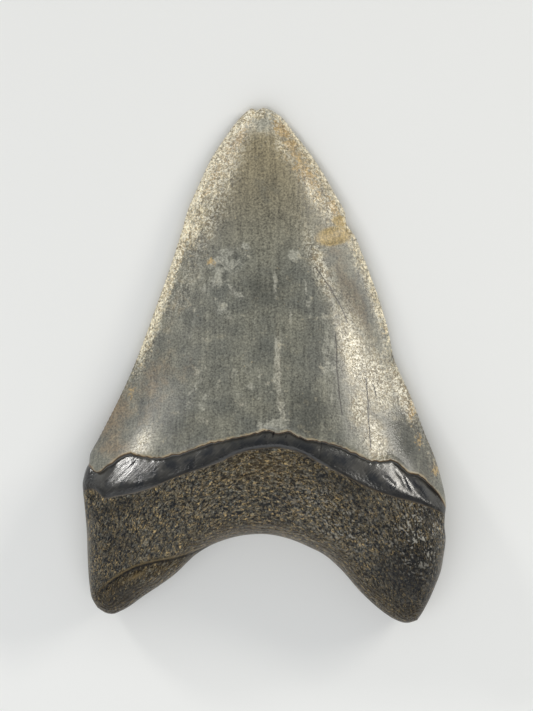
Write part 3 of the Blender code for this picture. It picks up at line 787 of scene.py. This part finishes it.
# Beside the arch the fibres run along the edge, as lines about half a millimetre apart.
FIBRE_SPACING = 0.55
inputs = {0: cloud, 1: 2.5, 2: given["arch_gap"]}
wander = add(tree, "ShaderNodeMath", inputs, operation="MULTIPLY_ADD")
inputs = {0: wander, 1: 2.0 * math.pi / FIBRE_SPACING}
wave = add(tree, "ShaderNodeMath", inputs, operation="MULTIPLY")
wave = add(tree, "ShaderNodeMath", {0: wave}, operation="SINE")
inputs = {"Value": given["arch_gap"], "From Min": 1.5, "From Max": 3.8, "To Min": 0.55, "To Max": 0.0}
by_arch = add(tree, "ShaderNodeMapRange", inputs)
fibre = add(tree, "ShaderNodeMapRange", {"Value": wave, "From Min": 0.1, "From Max": 0.8})
amount = add(tree, "ShaderNodeMath", {0: fibre, 1: by_arch}, operation="MULTIPLY")
inputs = {0: amount, 6: colour, 7: linear("#15120d")}
colour = add(tree, "ShaderNodeMix", inputs, 2, data_type="RGBA")
relief = add(tree, "ShaderNodeMath", {0: wave, 1: by_arch, 2: relief}, operation="MULTIPLY_ADD")
tree.links.new(colour, shader.inputs["Base Color"])
shader.inputs["IOR"].default_value = 1.45
shader.inputs["Specular IOR Level"].default_value = 0.22
rough = add(tree, "ShaderNodeMapRange", {"Value": given["glossy"], "To Min": 0.33, "To Max": 0.13})
tree.links.new(rough, shader.inputs["Roughness"])
# The glossy nodules stand higher, as ridges along the grain.
inputs = {"Vector": grained, "Scale": 1.0 / 0.75, "Detail": 1.0, "Distortion": 0.6}
ridges = add(tree, "ShaderNodeTexNoise", inputs)
ridges = add(tree, "ShaderNodeMath", {0: ridges, 1: given["glossy"]}, operation="MULTIPLY")
relief = add(tree, "ShaderNodeMath", {0: ridges, 1: 2.6, 2: relief}, operation="MULTIPLY_ADD")
bump = add(tree, "ShaderNodeBump", {"Strength": 1.0, "Distance": 0.24 * MM, "Height": relief})
tree.links.new(bump, shader.inputs["Normal"])

# ---------------------------------------------------------------------------------------------
# The collar (bourlette), a thin smooth layer that lost its enameloid: dense, blue-black, polished,
# with hairline cracks across it and a fine golden seam where it meets the enamel and the root.
tree, shader, spot = finish("collar_stone")
given = {}
for name in ("enamel_gap", "foot_gap", "collar_end", "hairline"):
    given[name] = add(tree, "ShaderNodeAttribute", {}, "Fac", attribute_name=name)
cloud = add(tree, "ShaderNodeTexNoise", {"Vector": spot, "Scale": 1.0 / 2.5, "Detail": 4.0})
clouded = add(tree, "ShaderNodeMapRange", {"Value": cloud, "From Min": 0.40, "From Max": 0.62})
inputs = {0: clouded, 6: linear("#212429"), 7: linear("#41403d")}
colour = add(tree, "ShaderNodeMix", inputs, 2, data_type="RGBA")
# Long fine scratches run up to the right.
inputs = {"Vector": spot, "Rotation": (0.0, 0.0, math.radians(44.0)), "Scale": (2.6, 0.20, 1.0)}
along = add(tree, "ShaderNodeMapping", inputs, vector_type="TEXTURE")
inputs = {"Vector": along, "Scale": 1.0, "Detail": 3.0, "Roughness": 0.6}
scratch = add(tree, "ShaderNodeTexNoise", inputs)
inputs = {"Value": scratch, "From Min": 0.55, "From Max": 0.70, "To Max": 0.45}
scratched = add(tree, "ShaderNodeMapRange", inputs)
inputs = {0: scratched, 6: colour, 7: linear("#6a6863")}
colour = add(tree, "ShaderNodeMix", inputs, 2, data_type="RGBA")
# Its upper part is painted lighter as a soft sheen.
inputs = {"Value": given["enamel_gap"], "From Min": -1.6, "From Max": -0.2, "To Max": 0.35}
upper_sheen = add(tree, "ShaderNodeMapRange", inputs)
inputs = {0: upper_sheen, 6: colour, 7: linear("#585853")}
colour = add(tree, "ShaderNodeMix", inputs, 2, data_type="RGBA")
# Towards its foot it is dull, and painted darker as the shade on its downward side.
inputs = {"Value": given["foot_gap"], "From Min": 2.1, "From Max": 0.4}
dull_shaded = add(tree, "ShaderNodeMapRange", inputs)
amount = add(tree, "ShaderNodeMath", {0: dull_shaded, 1: 0.85}, operation="MULTIPLY")
inputs = {0: amount, 6: colour, 7: linear("#0a0b0c")}
colour = add(tree, "ShaderNodeMix", inputs, 2, data_type="RGBA")
amount = add(tree, "ShaderNodeMath", {0: given["collar_end"], 1: cloud}, operation="MULTIPLY")
inputs = {0: amount, 6: colour, 7: linear("#24221e")}
colour = add(tree, "ShaderNodeMix", inputs, 2, data_type="RGBA")
for gap, low, high, code, part in (
    ("enamel_gap", -0.26, -0.10, "#6b5234", 0.75), ("foot_gap", 0.26, 0.06, "#574a35", 0.7),
    ("hairline", 0.2, 0.8, "#0f1012", 0.8),
):
    inputs = {"Value": given[gap], "From Min": low, "From Max": high, "To Max": part}
    seam = add(tree, "ShaderNodeMapRange", inputs, interpolation_type="SMOOTHSTEP")
    colour = add(tree, "ShaderNodeMix", {0: seam, 6: colour, 7: linear(code)}, 2, data_type="RGBA")
tree.links.new(colour, shader.inputs["Base Color"])
shader.inputs["IOR"].default_value = 1.6
shader.inputs["Specular IOR Level"].default_value = 0.42
inputs = {"Value": cloud, "From Min": 0.35, "From Max": 0.65, "To Min": 0.13, "To Max": 0.19}
rough = add(tree, "ShaderNodeMapRange", inputs)
rough = add(tree, "ShaderNodeMath", {0: dull_shaded, 1: 0.15, 2: rough}, operation="MULTIPLY_ADD")
tree.links.new(rough, shader.inputs["Roughness"])
pits = add(tree, "ShaderNodeTexNoise", {"Vector": spot, "Scale": 1.0 / 0.45, "Detail": 2.0})
relief = add(tree, "ShaderNodeMath", {0: pits, 1: 0.25, 2: scratch}, operation="MULTIPLY_ADD")
inputs = {0: given["collar_end"], 1: 1.2, 2: dull_shaded}
coarse = add(tree, "ShaderNodeMath", inputs, operation="MULTIPLY_ADD")
coarse = add(tree, "ShaderNodeMath", {0: coarse, 1: pits}, operation="MULTIPLY")
relief = add(tree, "ShaderNodeMath", {0: coarse, 1: 4.0, 2: relief}, operation="MULTIPLY_ADD")
bump = add(tree, "ShaderNodeBump", {"Strength": 1.0, "Distance": 0.022 * MM, "Height": relief})
tree.links.new(bump, shader.inputs["Normal"])

# ---------------------------------------------------------------------------------------------
# Enameloid, the shark's hard enamel, turned grey-green: satin from wear, with a fine grain, and
# polished or worn through to cream and tan along its edges and down its right flank.
tree, shader, spot = finish("fossil_enameloid")
given = {}
for name in (
    "tipward", "capped", "cream", "worn", "polish_sheen", "satin", "scarred", "rim", "ochre", "pale",
    "dark", "brown", "enamel_gap",
):
    given[name] = add(tree, "ShaderNodeAttribute", {}, "Fac", attribute_name=name)
rough_at = {}
for name, size, detail, roughness, distortion in (
    ("cloud", 6.0, 4.0, 0.5, 0.0), ("patch", 1.8, 4.0, 0.6, 0.3), ("fleck", 0.60, 3.0, 0.6, 0.0),
    ("curl", 0.50, 1.0, 0.5, 1.2), ("grain", 0.34, 2.0, 0.6, 0.0),
):
    inputs = {"Vector": spot, "Scale": 1.0 / size, "Detail": detail, "Roughness": roughness}
    inputs["Distortion"] = distortion
    rough_at[name] = add(tree, "ShaderNodeTexNoise", inputs)
inputs = {"Vector": spot, "Scale": (0.45, 5.0, 5.0)}
upright = add(tree, "ShaderNodeMapping", inputs, vector_type="TEXTURE")
streaks = add(tree, "ShaderNodeTexNoise", {"Vector": upright, "Scale": 1.0, "Detail": 2.0})
inputs = {"Value": rough_at["cloud"], "From Min": 0.38, "From Max": 0.62}
clouded = add(tree, "ShaderNodeMapRange", inputs)
inputs = {0: clouded, 6: linear("#65665e"), 7: linear("#7b7a6d")}
colour = add(tree, "ShaderNodeMix", inputs, 2, data_type="RGBA")
for name, code, part in (("tipward", "#95896b", 0.80), ("capped", "#dcd6c2", 0.95)):
    amount = add(tree, "ShaderNodeMath", {0: given[name], 1: part}, operation="MULTIPLY")
    inputs = {0: amount, 6: colour, 7: linear(code)}
    colour = add(tree, "ShaderNodeMix", inputs, 2, data_type="RGBA")
# Each mark (stains, wear, painted shade and painted highlights) is laid by place, then its border is
# broken up by one of the noises.
for name, code, noise, reach, low, high, part in (
    ("brown", "#7e6f58", "patch", 1.2, 0.30, 1.00, 1.0),
    ("dark", "#4f5049", "patch", 1.6, 0.20, 1.00, 1.0),
    ("pale", "#9b9a8e", "patch", 2.2, 0.35, 0.75, 0.85),
    ("worn", "#8f8770", "patch", 1.6, 0.10, 0.70, 0.95),
    ("cream", "#cec1a0", "fleck", 1.6, 0.20, 0.75, 0.95),
    ("ochre", "#ab9160", "fleck", 2.0, 0.35, 0.80, 0.95),
):
    off = add(tree, "ShaderNodeMath", {0: rough_at[noise], 1: 0.5}, operation="SUBTRACT")
    inputs = {0: off, 1: reach, 2: given[name]}
    blurred = add(tree, "ShaderNodeMath", inputs, operation="MULTIPLY_ADD")
    inputs = {"Value": blurred, "From Min": low, "From Max": high, "To Max": part}
    amount = add(tree, "ShaderNodeMapRange", inputs, interpolation_type="SMOOTHSTEP")
    inputs = {0: amount, 6: colour, 7: linear(code)}
    colour = add(tree, "ShaderNodeMix", inputs, 2, data_type="RGBA")
# A painted pale sheen over the polished places and the middle ridge, and the scar's tan.
for name, code, part in (("polish_sheen", "#c0b8a2", 0.55), ("scarred", "#a8925f", 0.85)):
    amount = add(tree, "ShaderNodeMath", {0: given[name], 1: part}, operation="MULTIPLY")
    inputs = {0: amount, 6: colour, 7: linear(code)}
    colour = add(tree, "ShaderNodeMix", inputs, 2, data_type="RGBA")
# Worn places are a granular mix of pale curls and brown hollows, a third of a millimetre across. The
# near-white curls are partly painted glints on the grains, and the hollows thin out under the painted
# sheen.
granular = add(tree, "ShaderNodeMath", {0: given["worn"], 1: given["cream"]}, operation="MAXIMUM")
inputs = {0: given["scarred"], 1: -0.75, 2: 1.0}
whole = add(tree, "ShaderNodeMath", inputs, operation="MULTIPLY_ADD")
granular = add(tree, "ShaderNodeMath", {0: granular, 1: whole}, operation="MULTIPLY")
inputs = {0: given["polish_sheen"], 1: -0.85, 2: 1.0}
unpolished = add(tree, "ShaderNodeMath", inputs, operation="MULTIPLY_ADD")
hollowed = add(tree, "ShaderNodeMath", {0: granular, 1: unpolished}, operation="MULTIPLY")
for low, high, where, code, part in (
    (0.50, 0.56, granular, "#f4eeda", 0.88), (0.46, 0.40, hollowed, "#6e5630", 0.80),
):
    inputs = {"Value": rough_at["curl"], "From Min": low, "From Max": high, "To Max": part}
    amount = add(tree, "ShaderNodeMapRange", inputs)
    amount = add(tree, "ShaderNodeMath", {0: amount, 1: where}, operation="MULTIPLY")
    inputs = {0: amount, 6: colour, 7: linear(code)}
    colour = add(tree, "ShaderNodeMix", inputs, 2, data_type="RGBA")
# The very edge is chipped to cream, and the wider band along the left edge is a painted highlight.
inputs = {"Value": rough_at["fleck"], "From Min": 0.42, "From Max": 0.56, "To Max": 0.85}
broken = add(tree, "ShaderNodeMapRange", inputs)
amount = add(tree, "ShaderNodeMath", {0: broken, 1: given["rim"]}, operation="MULTIPLY")
inputs = {0: amount, 6: colour, 7: linear("#e6dcc0")}
colour = add(tree, "ShaderNodeMix", inputs, 2, data_type="RGBA")
# The grain and the upright streaks make the whole surface a little lighter and darker.
inputs = {0: rough_at["grain"], 1: 2.6, 2: -1.20}
shading = add(tree, "ShaderNodeMath", inputs, operation="MULTIPLY_ADD")
shading = add(tree, "ShaderNodeMath", {0: streaks, 1: 1.1, 2: shading}, operation="MULTIPLY_ADD")
inputs = {0: rough_at["patch"], 1: 0.8, 2: shading}
shading = add(tree, "ShaderNodeMath", inputs, operation="MULTIPLY_ADD")
colour = add(tree, "ShaderNodeVectorMath", {0: colour, "Scale": shading}, operation="SCALE")
# The enamel's own thickness shows as a pale lip where it ends.
inputs = {0: rough_at["fleck"], 1: 0.55, 2: given["enamel_gap"]}
frayed = add(tree, "ShaderNodeMath", inputs, operation="MULTIPLY_ADD")
inputs = {"Value": frayed, "From Min": 0.66, "From Max": 0.42, "To Max": 0.72}
lip = add(tree, "ShaderNodeMapRange", inputs)
inputs = {"Value": rough_at["patch"], "From Min": 0.44, "From Max": 0.56, "To Min": 0.25}
uneven = add(tree, "ShaderNodeMapRange", inputs)
lip = add(tree, "ShaderNodeMath", {0: lip, 1: uneven}, operation="MULTIPLY")
colour = add(tree, "ShaderNodeMix", {0: lip, 6: colour, 7: linear("#ab9873")}, 2, data_type="RGBA")
# The cracks are drawn darker.
for number in range(len(CRACKS)):
    gap = add(tree, "ShaderNodeAttribute", {}, "Fac", attribute_name=f"crack_{number}")
    gap = add(tree, "ShaderNodeMath", {0: gap}, operation="ABSOLUTE")
    inputs = {"Value": gap, "From Min": 0.16, "From Max": 0.07, "To Max": 0.9}
    crack = add(tree, "ShaderNodeMapRange", inputs)
    inputs = {0: crack, 6: colour, 7: linear("#2e2a24")}
    colour = add(tree, "ShaderNodeMix", inputs, 2, data_type="RGBA")
tree.links.new(colour, shader.inputs["Base Color"])
shader.inputs["IOR"].default_value = 1.62
inputs = {"Value": given["satin"], "From Min": -1.0, "To Min": 0.58, "To Max": 0.20}
rough = add(tree, "ShaderNodeMapRange", inputs)
tree.links.new(rough, shader.inputs["Roughness"])
relief = add(tree, "ShaderNodeMath", {0: rough_at["grain"], 1: 0.35}, operation="MULTIPLY")
relief = add(tree, "ShaderNodeMath", {0: streaks, 1: 0.15, 2: relief}, operation="MULTIPLY_ADD")
deep = add(tree, "ShaderNodeMath", {0: granular, 1: rough_at["curl"]}, operation="MULTIPLY")
relief = add(tree, "ShaderNodeMath", {0: deep, 1: 0.9, 2: relief}, operation="MULTIPLY_ADD")
bump = add(tree, "ShaderNodeBump", {"Strength": 1.0, "Distance": 0.11 * MM, "Height": relief})
tree.links.new(bump, shader.inputs["Normal"])

# ---------------------------------------------------------------------------------------------
# The surface it lies on: a plain pale board.
bpy.ops.mesh.primitive_plane_add(size=1.6, location=(0.0, 0.0, 0.0))
floor = bpy.context.object
floor.name = "floor"
floor_material = bpy.data.materials.new("white_board")
floor_material.use_nodes = True
floor_shader = floor_material.node_tree.nodes["Principled BSDF"]
floor_shader.inputs["Base Color"].default_value = linear("#f0f1f0")
floor_shader.inputs["Roughness"].default_value = 0.6
floor.data.materials.append(floor_material)

# ---------------------------------------------------------------------------------------------
# Lights: a low window on each side, a wide soft light above the root and a little from all around.
world = bpy.data.worlds.new("studio")
bpy.context.scene.world = world
world.use_nodes = True
world.node_tree.nodes["Background"].inputs["Color"].default_value = (0.97, 0.99, 1.0, 1.0)
world.node_tree.nodes["Background"].inputs["Strength"].default_value = 0.31
LIGHT_DISTANCE = 0.6


def area_light(name, polar, azimuth, size, power, colour):
    """A rectangle of light this far round from straight up and from +X, facing the tooth."""
    polar, azimuth = math.radians(polar), math.radians(azimuth)
    flat = math.sin(polar)
    place = Vector((flat * math.cos(azimuth), flat * math.sin(azimuth), math.cos(polar)))
    place = place * LIGHT_DISTANCE
    light = bpy.data.lights.new(name, "AREA")
    light.shape = "RECTANGLE"
    light.size, light.size_y = size
    light.energy = power
    light.color = colour
    lamp = bpy.data.objects.new(name, light)
    lamp.location = place
    lamp.rotation_euler = place.to_track_quat("Z", "Y").to_euler()
    bpy.context.scene.collection.objects.link(lamp)


area_light("right_window", 67.0, 26.0, (0.27, 0.045), 1.34, (1.0, 0.96, 0.88))
area_light("left_window", 70.0, 138.0, (0.11, 0.045), 0.80, (1.0, 0.98, 0.94))
area_light("ceiling_light", 42.0, -104.0, (1.0, 0.8), 3.35, (1.0, 1.0, 1.0))

# ---------------------------------------------------------------------------------------------
# The camera looks straight down on the tooth.
DISTANCE = 0.45
TRUE_LEVEL = 1.5 * MM  # the level above the board that is seen at its true scale
VIEW_ROWS = 711
ROW_SIZE = 0.18 * MM
camera_data = bpy.data.cameras.new("camera")
camera = bpy.data.objects.new("camera", camera_data)
camera_data.sensor_fit = "VERTICAL"
camera_data.sensor_height = 36.0
camera_data.lens = camera_data.sensor_height * DISTANCE / (VIEW_ROWS * ROW_SIZE)
camera.location = (0.4 * MM, 1.6 * MM, DISTANCE + TRUE_LEVEL)
bpy.context.scene.collection.objects.link(camera)
bpy.context.scene.camera = camera
bpy.context.scene.view_settings.view_transform = "Standard"
